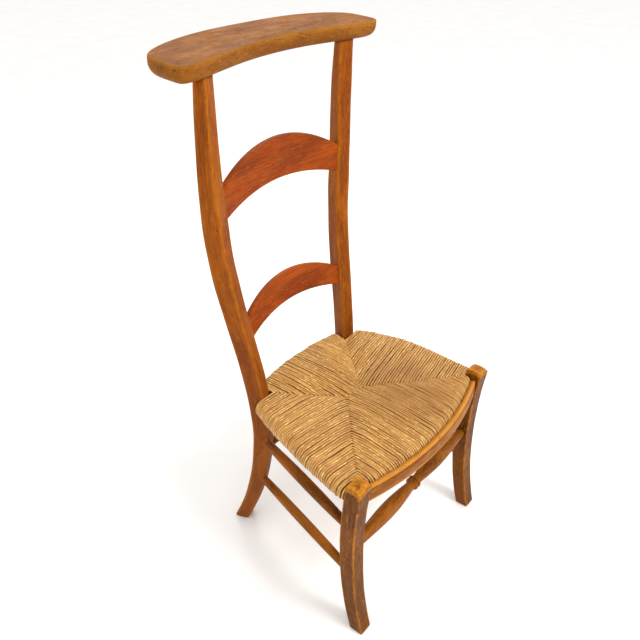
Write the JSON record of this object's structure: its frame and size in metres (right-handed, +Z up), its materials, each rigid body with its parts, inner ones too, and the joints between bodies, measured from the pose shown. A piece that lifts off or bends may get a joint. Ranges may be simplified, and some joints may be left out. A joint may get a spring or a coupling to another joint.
{
  "type": "kneeling chair",
  "caption": "Low rush-seated kneeling chair with tall raked posts, arched slats and a crescent prayer rest on top.",
  "frame": {"origin": "on the floor, below the middle of the chair's bounding box", "axes": "+Z up along the posts, +Y to the back, +X to the right as seen from the front; the chair is symmetric about X = 0"},
  "size_m": [0.438, 0.434, 0.9377],
  "materials": {
    "rest_wood": "old satin varnish, worn pale along the edges",
    "frame_wood": "old honey-brown varnish, satin, scratched",
    "slat_wood": "old red-brown varnish, satin",
    "stretcher_wood": "old varnish, darker in the hollows and rubbed bright on top",
    "hidden_wood": "bare, unvarnished",
    "nail_steel": "dull, slightly rusted",
    "rush": "twisted rush cord, golden straw, satin",
    "straw": "loose straw packing"
  },
  "bodies": {
    "root": {"prayer_rest": "rest_wood", "back_post_left": "frame_wood", "back_post_right": "frame_wood", "front_leg_left": "frame_wood", "front_leg_right": "frame_wood", "back_slat_upper": "slat_wood", "back_slat_lower": "slat_wood", "slat_pegs": "hidden_wood", "seat_rail_front": "hidden_wood", "seat_rail_rear": "hidden_wood", "seat_rail_left": "hidden_wood", "seat_rail_right": "hidden_wood", "side_stretcher_upper_left": "stretcher_wood", "side_stretcher_upper_right": "stretcher_wood", "side_stretcher_lower_left": "stretcher_wood", "side_stretcher_lower_right": "stretcher_wood", "front_stretcher": "stretcher_wood", "rear_stretcher": "stretcher_wood", "trim_strip": "frame_wood", "trim_nails": "nail_steel", "rush_seat": "rush", "seat_stuffing": "straw"}
  },
  "joints": []
}
